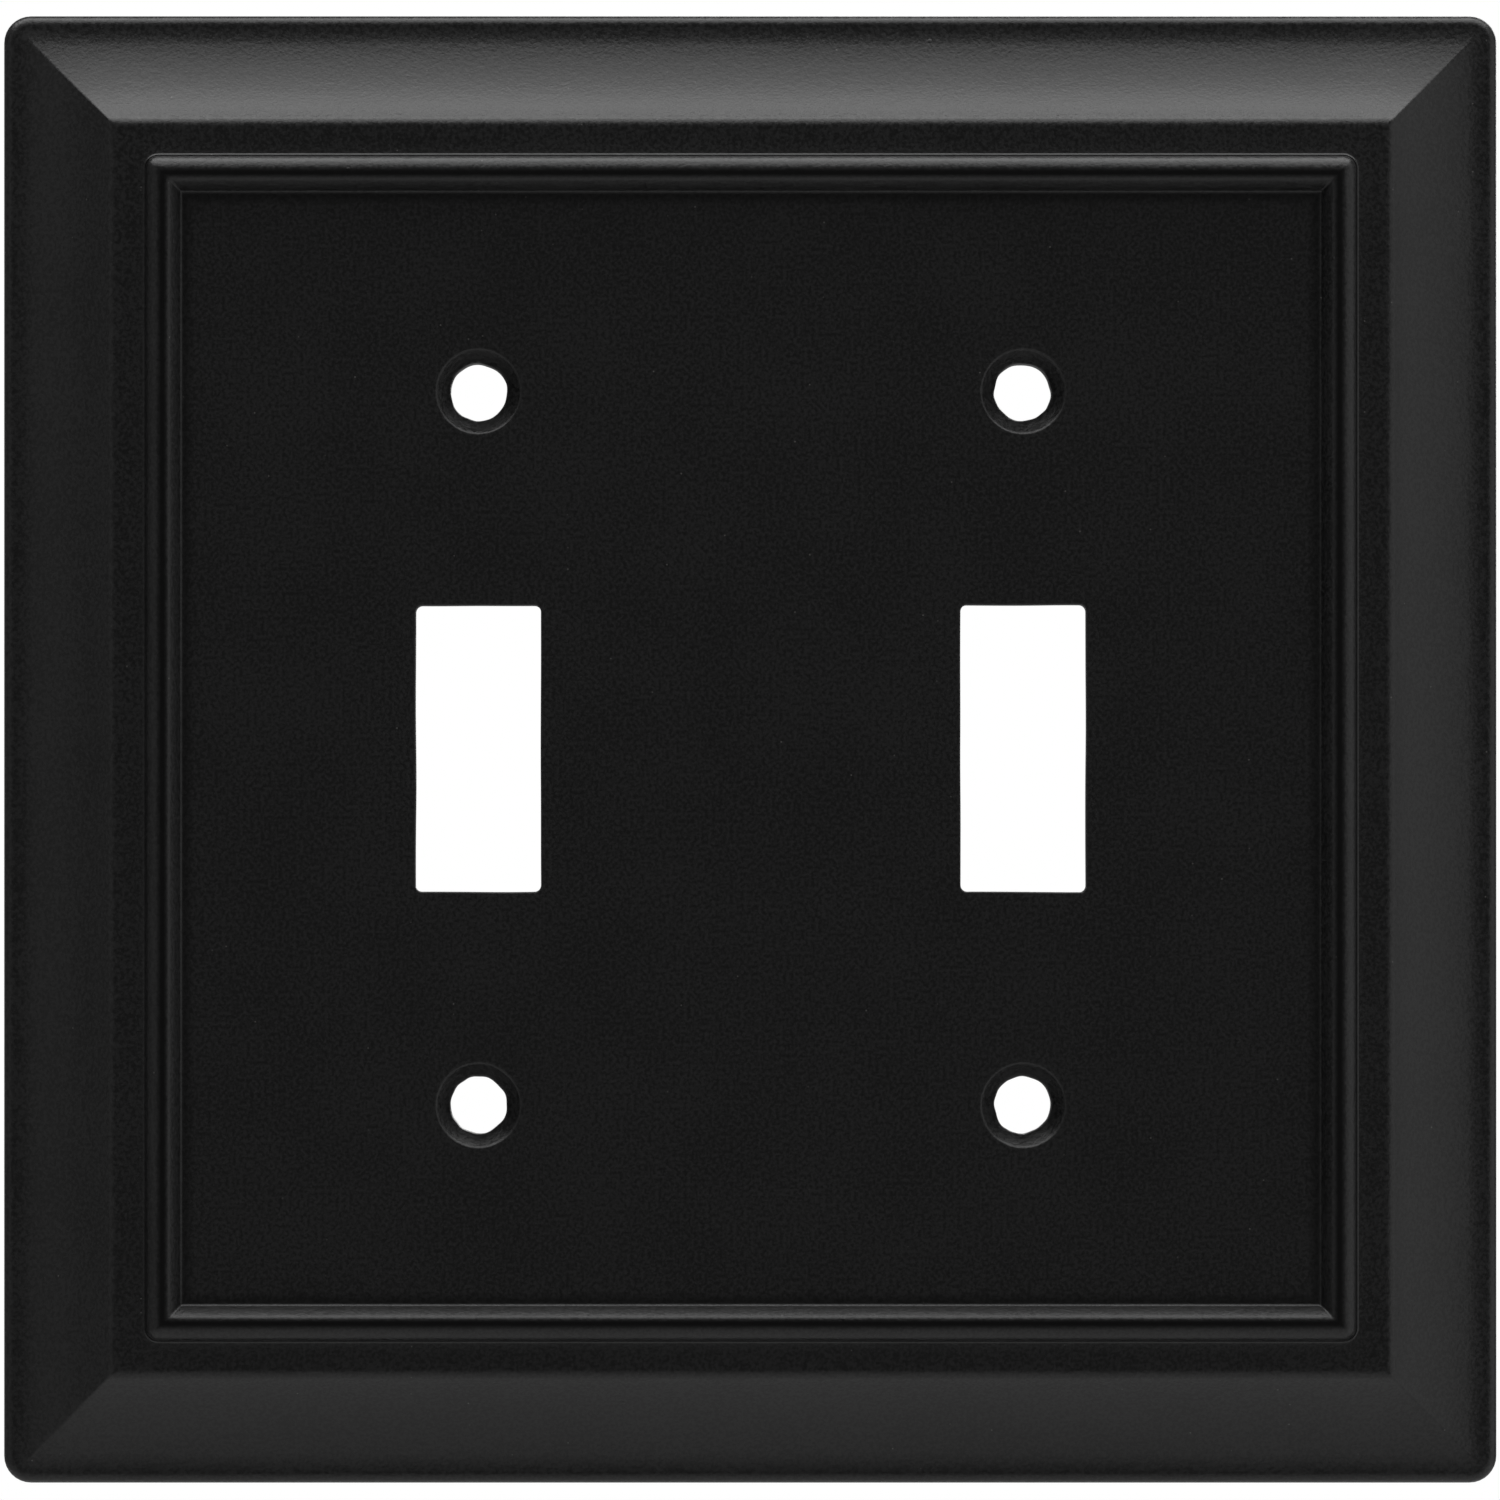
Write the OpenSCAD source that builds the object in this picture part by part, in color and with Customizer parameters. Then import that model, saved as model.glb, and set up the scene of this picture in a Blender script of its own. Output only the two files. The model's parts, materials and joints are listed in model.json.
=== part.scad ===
// Two-gang toggle switch wall plate, cast in one piece with a picture-frame moulding.
// Its four oval-head mounting screws lie in cradles in the hollow back until they are needed.
// Origin: centre of the plane that rests on the wall. +Z is up, +X is right, the front faces -Y.

/* [Plate outline] */
// Overall width of the plate
plate_w = 127.0; // [126:0.5:130]
// Overall height of the plate
plate_h = 124.8; // [124:0.1:128]
// Radius of the four outer corners, seen from the front
corner_r = 2.3; // [1.8:0.1:3]
// Height of the outer side wall above the wall plane
edge_h = 4.3; // [4.1:0.1:4.5]
// Radius of the rounded outer edge
edge_r = 0.9; // [0.7:0.05:0.95]

/* [Moulding] */
// Width of the near-flat lip next to the outer edge
lip_w = 1.0; // [1:0.05:1.3]
// Slope of the lip, in degrees
lip_angle = 4; // [2:1:8]
// Radius of the cove between the lip and the bevel
cove_r = 5.9; // [5.5:0.1:6.5]
// Slope of the bevel where it leaves the cove, in degrees
bevel_low_angle = 20; // [19:0.5:21]
// Slope of the bevel just below its crest, in degrees
bevel_high_angle = 46; // [45:0.5:47]
// Radius of the bevel's hollow face
bevel_r = 17.2; // [16.5:0.1:17.8]
// Radius of the crest between the bevel and the ledge
crest_r = 1.2; // [0.8:0.05:1.3]
// Distance from the outer edge to the small step on the ledge
step_inset = 12.2; // [12:0.1:12.4]
// Height of that small step
step_h = 0.18; // [0.1:0.02:0.3]

/* [Bead] */
// Distance from the outer edge to the foot of the bead
bead_inset = 12.4; // [12.3:0.1:12.6]
// Radius of the bead's rounded outer side
bead_r = 1.6; // [1.5:0.05:1.65]
// Slope of the bead's outer side at its foot, in degrees
bead_outer_angle = 65; // [60:1:70]
// Width of the flat along the top of the bead
bead_flat = 0.05; // [0.05:0.05:0.1]
// Radius of the bead's rounded inner shoulder
bead_inner_r = 0.9; // [0.8:0.05:0.95]
// Slope where the inner shoulder ends, in degrees
bead_shoulder_angle = 48; // [45:1:49]
// Radius of the bead's inner side below that shoulder
bead_side_r = 4.8; // [4.5:0.1:4.9]
// Slope of the bead's inner side at its foot, in degrees
bead_inner_angle = 63; // [60:1:63]
// Plan radius of the bead's outer corners
bead_corner_r = 1.6; // [1.6:0.1:2]

/* [Recessed panel] */
// Height of the panel's front face above the wall plane
panel_z = 8.7; // [8.5:0.1:8.7]
// Thickness of the panel
panel_t = 2.2; // [1.8:0.1:2.6]
// Height of the gentler slope at the foot of the bead, above the panel
foot_h = 0.15; // [0.1:0.05:0.2]
// Distance from the outer edge to the start of the panel
panel_inset = 15.6; // [15.6:0.1:15.8]

/* [Openings] */
// Centre distance of the two gangs, the standard 1 13/16 inch
gang_pitch = 46.04; // [46.04]
// Vertical centre distance of each gang's two screws, the standard 2 3/8 inch
screw_pitch = 60.33; // [60.33]
// Width of a toggle slot
slot_w = 10.6; // [10.3:0.1:11]
// Height of a toggle slot
slot_h = 24.2; // [23.8:0.1:25]
// Radius of a toggle slot's corners
slot_r = 0.55; // [0.3:0.05:1]
// Diameter of a screw hole
hole_d = 4.8; // [4.4:0.1:5]
// Diameter of the countersink at the panel's face
sink_d = 7.1; // [7:0.1:7.6]
// Full angle of the countersink, in degrees
sink_angle = 82; // [82]

/* [Hollow back] */
// Wall thickness behind the moulding
wall_t = 1.7; // [1.5:0.05:1.8]
// Width of the flat rim that touches the wall
rim_w = 2.1; // [1.8:0.1:2.4]
// Diameter of the low boss around each screw hole
boss_d = 9.6; // [9:0.1:11]
// Height of the low boss behind the panel
boss_h = 1.1; // [0.8:0.1:1.2]
// Diameter of an ejector pin mark
pin_mark_d = 5.0; // [4:0.5:6]
// Depth of an ejector pin mark
pin_mark_depth = 0.2; // [0.1:0.05:0.3]

/* [Mounting screws] */
// Thread diameter of a number 6 screw
screw_d = 3.45; // [3.4:0.05:3.5]
// Length of a screw from the rim of its head to its tip
screw_l = 19.0; // [16:0.5:20]
// Diameter of a screw's head
head_d = 6.8; // [6.4:0.1:6.9]
// Rise of the head's oval top
head_rise = 0.9; // [0.7:0.1:1.1]
// Width of the driver slot
drive_w = 1.0; // [0.8:0.1:1.2]
// Depth of the driver slot below the top of the head
drive_depth = 1.5; // [1.2:0.1:1.7]
// Height of a stowed screw's axis above the wall plane
stow_z = 3.6; // [3.5:0.05:3.7]
// Distance from the plate's outer edge to a stowed screw's axis
stow_inset = 11.4; // [11.3:0.1:11.6]
// Gap between a stowed screw and its cradle
cradle_gap = 0.08; // [0.05:0.01:0.15]
// Thickness of a cradle along the screw
cradle_t = 1.6; // [1.2:0.1:2]
// Width of a cradle across the screw
cradle_w = 5.6; // [5.2:0.1:6]

/* [Hidden] */
$fn = 96;
paint_black = [0.03, 0.03, 0.032];
over = 1; // How far a cutting solid runs past the face that it cuts

// A point rounded to whole micrometres, so that neighbouring blocks share their corners exactly.
function snap(p) = [round(p[0] * 1000) / 1000, round(p[1] * 1000) / 1000];
// One bend of an outline that starts at point p and turns from slope a0 to slope a1.
function bend(p, r, a0, a1, n) =
    let (k = sign(a1 - a0))
    [for (i = [1:n]) let (a = a0 + (a1 - a0) * i / n)
        snap(p + k * r * [sin(a) - sin(a0), cos(a0) - cos(a)])];
function last(points) = points[len(points) - 1];

// Outlines are lists of [distance in from the plate's edge, height above the wall].
lip_end = snap([lip_w, edge_h + (lip_w - edge_r) * tan(lip_angle)]);
cove = bend(lip_end, cove_r, lip_angle, bevel_low_angle, 4);
bevel = bend(last(cove), bevel_r, bevel_low_angle, bevel_high_angle, 7);
crest = bend(last(bevel), crest_r, bevel_high_angle, 0, 5);
ledge_z = last(crest)[1];
lip_start = snap([-over, edge_h - (edge_r + over) * tan(lip_angle)]);
moulding = concat([lip_start, lip_end], cove, bevel, crest);

// The same faces, one wall thickness further back.
lip_end_back = lip_end + wall_t * [sin(lip_angle), -cos(lip_angle)];
cove_back_r = cove_r + wall_t;
rim_slope = asin(sin(lip_angle) + (rim_w - lip_end_back[0]) / cove_back_r);
rim_top = snap([rim_w, lip_end_back[1] + cove_back_r * (cos(lip_angle) - cos(rim_slope))]);
cove_back = bend(rim_top, cove_back_r, rim_slope, bevel_low_angle, 3);
bevel_back = bend(last(cove_back), bevel_r + wall_t, bevel_low_angle, bevel_high_angle, 7);
ceiling_z = ledge_z - wall_t;

step_z = ledge_z + step_h;
bead_start = [0, step_z];
bead_face = bend(bead_start, bead_r, bead_outer_angle, 0, 6);
bead_z = last(bead_face)[1];
bead_top_inset = bead_inset + last(bead_face)[0];
bead_shoulder = bend([bead_top_inset + bead_flat, bead_z], bead_inner_r, 0, -bead_shoulder_angle, 4);
bead_fall = concat(bead_shoulder,
    bend(last(bead_shoulder), bead_side_r, -bead_shoulder_angle, -bead_inner_angle, 3));
foot_z = panel_z + foot_h;
foot_inset = last(bead_fall)[0] + (last(bead_fall)[1] - foot_z) / tan(bead_inner_angle);

panel_back_z = panel_z - panel_t;
island_inset = 14.2; // From the plate's edge to the thick back of the panel
island_draft = 0.6; // How far that back's sides lean in
island_corner_r = 2;

hole_x = gang_pitch / 2;
hole_z = screw_pitch / 2;
sink_depth = (sink_d - hole_d) / 2 / tan(sink_angle / 2);

head_cone_h = (head_d - screw_d) / 2 / tan(sink_angle / 2);
head_band = 0.15;
tip_chamfer = 0.5;
stow_x = plate_w / 2 - stow_inset;
stow_gap = 10; // From the plate's middle to the nearer end of a stowed screw
cradle_bottom = 2.2;
cradle_near_tip = 4; // From a screw's tip to its lower cradle

// An outline closed into a full cross-section that is the same on both sides.
function both_sides(points, width) = concat(
    [for (p = points) [p[0] - width / 2, p[1]]],
    [for (i = [len(points) - 1:-1:0]) [width / 2 - points[i][0], points[i][1]]]);

// A bar along Y with the given cross-section.
module bar(section, length) {
    rotate([90, 0, 0])
        linear_extrude(length, center = true)
            polygon(section);
}

// A block whose four sides all have the same outline and meet in mitres.
module mitred_block(points, w, h) {
    intersection() {
        bar(both_sides(points, w), h + 4 * over);
        rotate([0, 0, 90])
            bar(both_sides(points, h), w + 4 * over);
    }
}

// A block whose four sides have the same outline and run round its corners.
module rounded_block(points, w, h, r) {
    bar(both_sides(points, w), h - 2 * r);
    rotate([0, 0, 90])
        bar(both_sides(points, h), w - 2 * r);
    post = concat([for (p = points) [r - p[0], p[1]]],
        [[0, last(points)[1]], [0, points[0][1]]]);
    for (x = [-1, 1], y = [-1, 1])
        translate([x * (w / 2 - r), y * (h / 2 - r), 0])
            rotate_extrude()
                polygon(post);
}

// A rectangle with rounded corners.
module rounded_rectangle(w, h, r) {
    square([w - 2 * r, h], center = true);
    square([w, h - 2 * r], center = true);
    for (x = [-1, 1], y = [-1, 1])
        translate([x * (w / 2 - r), y * (h / 2 - r)])
            circle(r);
}

// Puts a copy at each of the four screw holes.
module at_screw_holes() {
    for (x = [-1, 1], y = [-1, 1])
        translate([x * hole_x, y * hole_z, 0])
            children();
}

// The solid outside of the plate, up to the ledge.
module outer_body() {
    top = last(moulding)[1] + over;
    rounded_edge = concat([[0, 0]], [[0, edge_h - edge_r]],
        bend([0, edge_h - edge_r], edge_r, 90, 0, 5), [[edge_r, top]]);
    intersection() {
        mitred_block(concat([[-over, -over]], moulding), plate_w, plate_h);
        rounded_block(rounded_edge, plate_w, plate_h, corner_r);
    }
}

// The raised bead around the panel, with the fine step at its foot.
module bead() {
    base = ceiling_z + wall_t / 2;
    rounded_block([[0, base], [0, step_z - 0.06], [0.06, step_z]],
        plate_w - 2 * step_inset, plate_h - 2 * step_inset, bead_corner_r);
    rounded_block(concat([[0, base], bead_start], bead_face),
        plate_w - 2 * bead_inset, plate_h - 2 * bead_inset, bead_corner_r);
}

// The space in front of the recessed panel.
module panel_recess() {
    fall = concat([[bead_top_inset + bead_flat, bead_z + over],
        [bead_top_inset + bead_flat, bead_z]], bead_fall,
        [[foot_inset, foot_z], [panel_inset, panel_z]]);
    mitred_block([for (i = [len(fall) - 1:-1:0]) fall[i]], plate_w, plate_h);
}

// The hollow behind the moulding.
module back_hollow() {
    below_ceiling = [for (p = bevel_back) if (p[1] < ceiling_z) p];
    mitred_block(concat([[rim_w, -over], rim_top], cove_back, below_ceiling,
        [[last(bevel_back)[0], ceiling_z]]), plate_w, plate_h);
}

// The thick back of the panel, which stands lower than the hollow's ceiling.
module panel_back() {
    rounded_block([[island_draft, panel_back_z], [0, ceiling_z + wall_t / 4]],
        plate_w - 2 * island_inset, plate_h - 2 * island_inset, island_corner_r);
    at_screw_holes()
        translate([0, 0, panel_back_z - boss_h])
            cylinder(h = boss_h + panel_t / 2, d1 = boss_d - 0.4, d2 = boss_d);
}

// Round marks that the ejector pins leave in the panel's back.
module pin_marks() {
    for (x = [-1, 0, 1], y = [-1, 1])
        translate([x * (plate_w / 2 - 20), y * (plate_h / 2 - 18.5), panel_back_z - over])
            cylinder(h = over + pin_mark_depth, d = pin_mark_d);
}

// One toggle slot and its pair of screw holes, for both gangs.
module front_openings() {
    for (x = [-1, 1])
        translate([x * hole_x, 0, 0])
            linear_extrude(bead_z + over)
                rounded_rectangle(slot_w, slot_h, slot_r);
    at_screw_holes() {
        cylinder(h = bead_z + over, d = hole_d);
        translate([0, 0, panel_z - sink_depth])
            cylinder(h = 2 * sink_depth, d1 = hole_d,
                d2 = 2 * sink_d - hole_d);
    }
}

// Carries a screw, head up along +Y, from the origin to its stowed place.
module at_stow(side, level) {
    rim_y = level > 0 ? stow_gap + screw_l : -stow_gap;
    translate([side * stow_x, rim_y, stow_z])
        children();
}

// The two cradles of one stowed screw.
module cradles(side, level) {
    under_head = -head_band - head_cone_h - cradle_gap - cradle_t / 2;
    at_stow(side, level)
        for (y = [under_head, cradle_near_tip + cradle_t / 2 - screw_l])
            translate([0, y, 0])
                rotate([90, 0, 0])
                    linear_extrude(cradle_t, center = true)
                        difference() {
                            translate([-cradle_w / 2, cradle_bottom - stow_z])
                                square([cradle_w, ceiling_z + wall_t / 2 - cradle_bottom]);
                            circle(screw_d / 2 + cradle_gap);
                            translate([-screw_d / 2 - cradle_gap, -stow_z])
                                square([screw_d + 2 * cradle_gap, stow_z]);
                        }
}

// The cast plate: moulding, bead, panel, slots, screw holes and hollow back.
module wall_plate() {
    color(paint_black)
        rotate([90, 0, 0])
            difference() {
                union() {
                    difference() {
                        union() {
                            outer_body();
                            bead();
                        }
                        panel_recess();
                        back_hollow();
                    }
                    panel_back();
                    for (side = [-1, 1], level = [-1, 1])
                        cradles(side, level);
                }
                front_openings();
                pin_marks();
            }
}

// One number 6 oval-head screw, drawn head up along +Y with the head's rim at the origin.
module oval_head_screw() {
    dome_r = (head_d * head_d / 4 + head_rise * head_rise) / (2 * head_rise);
    rotate([-90, 0, 0])
        difference() {
            union() {
                translate([0, 0, tip_chamfer - screw_l])
                    cylinder(h = screw_l - tip_chamfer - head_band, d = screw_d);
                translate([0, 0, -screw_l])
                    cylinder(h = tip_chamfer, d1 = screw_d - 2 * tip_chamfer, d2 = screw_d);
                translate([0, 0, -head_band - head_cone_h])
                    cylinder(h = head_cone_h, d1 = screw_d, d2 = head_d);
                translate([0, 0, -head_band])
                    cylinder(h = head_band, d = head_d);
                intersection() {
                    translate([0, 0, head_rise - dome_r])
                        sphere(dome_r);
                    cylinder(h = head_rise + over, d = head_d);
                }
            }
            translate([-head_d, -drive_w / 2, head_rise - drive_depth])
                cube([2 * head_d, drive_w, drive_depth + over]);
        }
}

module stowed_screw(side, level) {
    color(paint_black)
        rotate([90, 0, 0])
            at_stow(side, level)
                oval_head_screw();
}
module mounting_screw_top_left() { stowed_screw(-1, 1); }
module mounting_screw_top_right() { stowed_screw(1, 1); }
module mounting_screw_bottom_left() { stowed_screw(-1, -1); }
module mounting_screw_bottom_right() { stowed_screw(1, -1); }

wall_plate();
mounting_screw_top_left();
mounting_screw_top_right();
mounting_screw_bottom_left();
mounting_screw_bottom_right();
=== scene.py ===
"""Two-gang toggle switch wall plate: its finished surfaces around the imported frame.

The plate's skin is built from rings. Each ring is a rounded rectangle that lies at one distance in from
the plate's edge and at one height above the wall, and the rings follow the moulding's cross-section.
"""

import json
import math

import bmesh
import bpy
import numpy as np
from mathutils import Matrix, Vector, noise
from mathutils.geometry import delaunay_2d_cdt

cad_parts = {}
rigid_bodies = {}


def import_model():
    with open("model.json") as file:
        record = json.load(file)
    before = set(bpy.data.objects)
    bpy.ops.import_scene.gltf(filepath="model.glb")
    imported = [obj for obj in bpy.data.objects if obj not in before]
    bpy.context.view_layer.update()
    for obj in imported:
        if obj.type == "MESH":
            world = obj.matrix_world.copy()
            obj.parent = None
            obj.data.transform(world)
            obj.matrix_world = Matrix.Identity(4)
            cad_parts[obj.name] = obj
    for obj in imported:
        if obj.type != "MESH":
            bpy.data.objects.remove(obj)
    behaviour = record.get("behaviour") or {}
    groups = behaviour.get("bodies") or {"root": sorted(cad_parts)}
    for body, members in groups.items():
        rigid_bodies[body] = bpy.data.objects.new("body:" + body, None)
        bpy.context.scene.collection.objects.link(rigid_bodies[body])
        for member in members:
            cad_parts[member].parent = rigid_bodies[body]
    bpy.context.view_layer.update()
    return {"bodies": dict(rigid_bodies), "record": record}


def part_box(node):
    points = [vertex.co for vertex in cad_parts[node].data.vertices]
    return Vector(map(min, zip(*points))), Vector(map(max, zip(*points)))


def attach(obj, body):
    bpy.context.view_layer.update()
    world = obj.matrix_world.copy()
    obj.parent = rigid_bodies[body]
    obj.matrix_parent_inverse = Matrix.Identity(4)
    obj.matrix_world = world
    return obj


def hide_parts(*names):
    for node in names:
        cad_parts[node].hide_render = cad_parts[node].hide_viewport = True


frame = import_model()

# ---------------------------------------------------------------------------------------------
# Sizes, in millimetres. The outline, the holes and the slots come from the frame.
# ---------------------------------------------------------------------------------------------
MM = 0.001
plate_low, plate_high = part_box("wall_plate")
PLATE_W = (plate_high[0] - plate_low[0]) / MM
PLATE_H = (plate_high[2] - plate_low[2]) / MM
BEAD_Z = -plate_low[1] / MM

mounts = {mount["name"]: mount for mount in frame["record"]["mounts"]}
openings = {gap["name"]: gap for gap in frame["record"]["physics"]["openings"]}
pattern = mounts["screw_pattern"]["dims"]
GANG_X = pattern["spacing_x_mm"] / 2
SCREW_Z = pattern["spacing_y_mm"] / 2
HOLE_R = pattern["hole_r_mm"]
SLOT_GAP = 0.1  # between the record's slot box and the slot's walls
slot_box = openings["toggle_slot_right"]["box_m"]
SLOT_W = (slot_box[1][0] - slot_box[0][0]) / MM + 2 * SLOT_GAP
SLOT_H = (slot_box[1][2] - slot_box[0][2]) / MM + 2 * SLOT_GAP
SLOT_R = 0.55
SLOT_EDGE = 0.16  # radius of the slots' front edges
SLOT_UNEVEN, HOLE_UNEVEN = 0.1, 0.12  # how far the openings' walls wander

CORNER_R = 2.3
EDGE_H = 4.3
EDGE_R = 0.9
RIM_R = 0.25
LIP_W = 1.0
LIP_ANGLE = 4
COVE_R = 5.9
BEVEL_R = 17.2
BEVEL_LOW, BEVEL_HIGH = 20, 46  # slopes, in degrees
CREST_R = 1.2
STEP_INSET = 12.2
STEP_H = 0.18
LEDGE_FILLET, LEDGE_FILLET_W = 8, 1.07  # slope and width of the ledge's rise before the step
BEAD_INSET = 12.4
BEAD_R = 1.6
BEAD_INNER_R = 0.9
BEAD_SIDE_R = 4.8
BEAD_FOOT_R = 0.4  # of the paint in the crease at the bead's foot
BEAD_OUTER, BEAD_SHOULDER, BEAD_INNER = 65, 48, 63  # slopes, in degrees
BEAD_FLAT = 0.05
BEAD_CROWN = 13.89  # from the plate's edge to the middle of the bead's top
BEAD_CORNER_R = 1.3
MITRE_R = 0.16  # how far paint rounds a mitre
PANEL_Z = 8.7
PANEL_T = 2.2
PANEL_INSET = 15.6
DISH_W = 3.6  # of the border where the panel curls up a little towards the bead
SINK_R = 3.55
SINK_ANGLE = 82
WALL_T = 1.7
RIM_W = 2.1
ISLAND_INSET = 14.2
ISLAND_DRAFT = 0.6
ISLAND_CORNER_R = 2.0
BOSS_R = 4.8
BOSS_H = 1.1
PIN_MARK_R = 2.5
PIN_MARK_DEPTH = 0.2
PIN_MARK_SIDE, PIN_MARK_END = 20, 18.5  # from the plate's edges

SCREW_R = 1.72
SCREW_L = 19.0
HEAD_R = 3.4
HEAD_RISE = 0.9
HEAD_BAND = 0.15
DRIVE_W = 1.0
DRIVE_DEPTH = 1.5
THREAD_PITCH = 25.4 / 32
THREAD_DEPTH = 0.42
STOW_INSET = 11.4
STOW_Z = 3.6
STOW_GAP = 10
CRADLE_GAP = 0.08
CRADLE_T = 1.6
CRADLE_W = 5.6
CRADLE_BOTTOM = 2.2
CRADLE_NEAR_TIP = 4
CRADLE_ROOT = 2.2  # from the top of the bead to where the cradles end inside the casting


# ---------------------------------------------------------------------------------------------
# Outlines
# ---------------------------------------------------------------------------------------------
def bend(start, radius, low, high, steps):
    """Points of one bend that starts at start and turns from slope low to slope high, in degrees."""
    turn = 1 if high > low else -1
    points = []
    for step in range(1, steps + 1):
        a0, a = math.radians(low), math.radians(low + (high - low) * step / steps)
        points.append((start[0] + turn * radius * (math.sin(a) - math.sin(a0)),
                       start[1] + turn * radius * (math.cos(a0) - math.cos(a))))
    return points


def soft_step(start, end, steps=7):
    """Points of a rounded step from start to end, flat at both ends."""
    points = []
    for step in range(1, steps + 1):
        t = step / steps
        points.append((start[0] + (end[0] - start[0]) * t,
                       start[1] + (end[1] - start[1]) * (3 * t * t - 2 * t ** 3)))
    return points


def flat(start, end, margin=0.12):
    """Points of a straight stretch, with one near each end so that its shading stays flat."""
    near = min(margin / math.dist(start, end), 0.3)
    return [(start[0] + (end[0] - start[0]) * share, start[1] + (end[1] - start[1]) * share)
            for share in (near, 0.5, 1 - near, 1)]


def arc(centre, radius, low, high, steps):
    """Points of an arc, from angle low to angle high in degrees."""
    return [(centre[0] + radius * math.cos(math.radians(low + (high - low) * i / steps)),
             centre[1] + radius * math.sin(math.radians(low + (high - low) * i / steps)))
            for i in range(steps + 1)]


def front_outline():
    """[inset, height] from the back rim round the outer edge and over the moulding to the panel."""
    line = [(RIM_R + 0.12, 0)] + arc((RIM_R, RIM_R), RIM_R, 270, 180, 5)
    line += flat(line[-1], (0, EDGE_H - EDGE_R))
    line += bend(line[-1], EDGE_R, 90, LIP_ANGLE, 9)
    line += flat(line[-1], (LIP_W, EDGE_H + (LIP_W - EDGE_R) * math.tan(math.radians(LIP_ANGLE))))
    line += bend(line[-1], COVE_R, LIP_ANGLE, BEVEL_LOW, 10)
    line += bend(line[-1], BEVEL_R, BEVEL_LOW, BEVEL_HIGH, 20)
    line += bend(line[-1], CREST_R, BEVEL_HIGH, 0, 12)
    ledge = line[-1][1]
    line += flat(line[-1], (STEP_INSET - 0.03 - LEDGE_FILLET_W, ledge), 0.15)
    line += bend(line[-1], LEDGE_FILLET_W / math.sin(math.radians(LEDGE_FILLET)), 0, LEDGE_FILLET, 8)
    line += soft_step(line[-1], (STEP_INSET + 0.15, ledge + STEP_H))
    foot = (BEAD_INSET, ledge + STEP_H)
    line += soft_step(line[-1], (foot[0] - 0.02, foot[1] - 0.14), 3)
    line += bend(foot, BEAD_R, BEAD_OUTER, 0, 14)
    line.append((line[-1][0] + BEAD_FLAT, line[-1][1]))
    line += bend(line[-1], BEAD_INNER_R, 0, -BEAD_SHOULDER, 10)
    line += bend(line[-1], BEAD_SIDE_R, -BEAD_SHOULDER, -BEAD_INNER, 6)
    line += bend(line[-1], BEAD_FOOT_R, -BEAD_INNER, -3, 9)
    dish, curl = line[-1][0], line[-1][1] - PANEL_Z
    for step in range(1, 11):
        line.append((dish + DISH_W * step / 10, PANEL_Z + curl * (1 - step / 10) ** 2))
    line.append((line[-1][0] + 0.5, PANEL_Z))
    return [(inset, min(height, BEAD_Z)) for inset, height in line]


def back_outline():
    """[inset, height] from the back rim, through the hollow, to the thick back of the panel."""
    lip_end = (LIP_W, EDGE_H + (LIP_W - EDGE_R) * math.tan(math.radians(LIP_ANGLE)))
    cove_end = bend(lip_end, COVE_R, LIP_ANGLE, BEVEL_LOW, 1)[0]
    bevel_end = bend(cove_end, BEVEL_R, BEVEL_LOW, BEVEL_HIGH, 1)[0]
    ceiling = bend(bevel_end, CREST_R, BEVEL_HIGH, 0, 1)[0][1] - WALL_T
    lip = math.radians(LIP_ANGLE)
    lip_back = (lip_end[0] + WALL_T * math.sin(lip), lip_end[1] - WALL_T * math.cos(lip))
    slope = math.asin(math.sin(lip) + (RIM_W - lip_back[0]) / (COVE_R + WALL_T))
    top = (RIM_W, lip_back[1] + (COVE_R + WALL_T) * (math.cos(lip) - math.cos(slope)))
    line = [(RIM_R + 0.12, 0), (RIM_W - RIM_R - 0.1, 0), (RIM_W - RIM_R, 0)]
    line += arc((RIM_W - RIM_R, RIM_R), RIM_R, 270, 360, 5)[1:]
    line += flat(line[-1], (RIM_W, top[1] - 0.3), 0.15)
    line += [(RIM_W + 0.04, top[1] - 0.12), (RIM_W + 0.14, top[1] - 0.01)]
    cove = bend(top, COVE_R + WALL_T, math.degrees(slope), BEVEL_LOW, 8)
    line += [p for p in cove if p[0] > RIM_W + 0.3]
    bevel = bend(line[-1], BEVEL_R + WALL_T, BEVEL_LOW, BEVEL_HIGH, 16)
    line += [p for p in bevel if p[1] < ceiling - 0.35]
    line += [(line[-1][0] + 0.3, ceiling - 0.1), (line[-1][0] + 0.65, ceiling)]
    foot = ISLAND_INSET - 0.25
    line += flat(line[-1], (foot, ceiling), 0.2)
    back = PANEL_Z - PANEL_T
    lean = ISLAND_DRAFT / (ceiling - back)
    line += [(foot + 0.15, ceiling - 0.06), (foot + 0.25, ceiling - 0.22)]
    line += flat(line[-1], (foot + 0.25 + lean * (ceiling - 0.5 - back), back + 0.28), 0.12)
    side = line[-1][0]
    line += [(side + 0.08, back + 0.12), (side + 0.2, back + 0.03)]
    line += [(side + 0.35, back), (side + 0.6, back)]
    return line


def plan_radius(inset, hollow):
    """Plan radius of a ring's corners: rounded at the edge and the bead, sharp along the mitres."""
    if hollow:
        if inset > ISLAND_INSET - 0.3:
            return max(ISLAND_CORNER_R - (inset - ISLAND_INSET), 0.8)
        return max(CORNER_R - inset, 0.8) if inset > 0.5 else CORNER_R - inset
    if STEP_INSET - 0.3 < inset < BEAD_INSET + BEAD_CORNER_R:
        return max(BEAD_CORNER_R - (inset - STEP_INSET), MITRE_R)
    if inset > PANEL_INSET:
        return MITRE_R + 0.9 * (inset - PANEL_INSET)
    return max(CORNER_R - inset, MITRE_R)


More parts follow.
